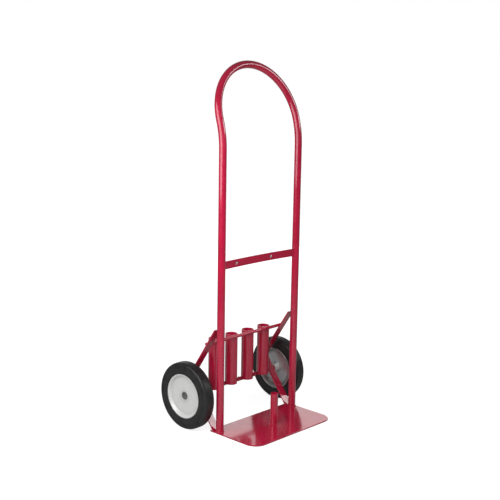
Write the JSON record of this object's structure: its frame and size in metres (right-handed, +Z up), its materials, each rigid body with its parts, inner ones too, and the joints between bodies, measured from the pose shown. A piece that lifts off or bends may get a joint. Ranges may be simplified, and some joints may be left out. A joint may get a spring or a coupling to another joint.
{
  "type": "hand truck",
  "caption": "Upright hand truck for a breaker hammer: bent tube frame with a round loop handle, toe plate with nose post, tool bit tubes and solid tyred wheels.",
  "frame": {"origin": "on the floor midway between the two uprights, on the plane of their axes, under the toe plate", "axes": "+Z up, -Y to the front over the toe plate, +X to the wheel on the right when +Y points away"},
  "size_m": [0.5476, 0.4515, 1.3554],
  "materials": {
    "red_enamel": "glossy crimson enamel",
    "wheel_grey": "light grey wheel paint, satin",
    "tyre_rubber": "black solid rubber",
    "zinc_hardware": "zinc plated",
    "bearing_sleeve": "oiled steel"
  },
  "bodies": {
    "frame": {"hoop_frame": "red_enamel", "toe_plate": "red_enamel", "cross_bar": "red_enamel", "cross_bar_bolts": "zinc_hardware", "cross_bar_nuts": "zinc_hardware", "axle": "red_enamel", "bit_tube_1": "red_enamel", "bit_tube_2": "red_enamel", "bit_tube_3": "red_enamel", "bit_tube_4": "red_enamel", "bit_tube_floors": "red_enamel", "bit_tube_rod": "red_enamel", "nose_post": "red_enamel", "foot_welds": "red_enamel", "left_brace": "red_enamel", "right_brace": "red_enamel", "left_axle_collar": "red_enamel", "right_axle_collar": "red_enamel", "left_axle_washer": "zinc_hardware", "right_axle_washer": "zinc_hardware", "left_axle_cap": "zinc_hardware", "right_axle_cap": "zinc_hardware"},
    "left_wheel": {"left_tyre": "tyre_rubber", "left_outer_disc": "wheel_grey", "left_inner_disc": "wheel_grey", "left_hub_tube": "wheel_grey", "left_bearings": "bearing_sleeve"},
    "right_wheel": {"right_tyre": "tyre_rubber", "right_outer_disc": "wheel_grey", "right_inner_disc": "wheel_grey", "right_hub_tube": "wheel_grey", "right_bearings": "bearing_sleeve"}
  },
  "joints": [
    {"name": "left_wheel_spin", "type": "hinge", "parent": "frame", "child": "left_wheel", "pos_m": [-0.2508, 0.1245, 0.127], "axis": [1, 0, 0], "continuous": true},
    {"name": "right_wheel_spin", "type": "hinge", "parent": "frame", "child": "right_wheel", "pos_m": [0.2508, 0.1245, 0.127], "axis": [1, 0, 0], "continuous": true}
  ]
}
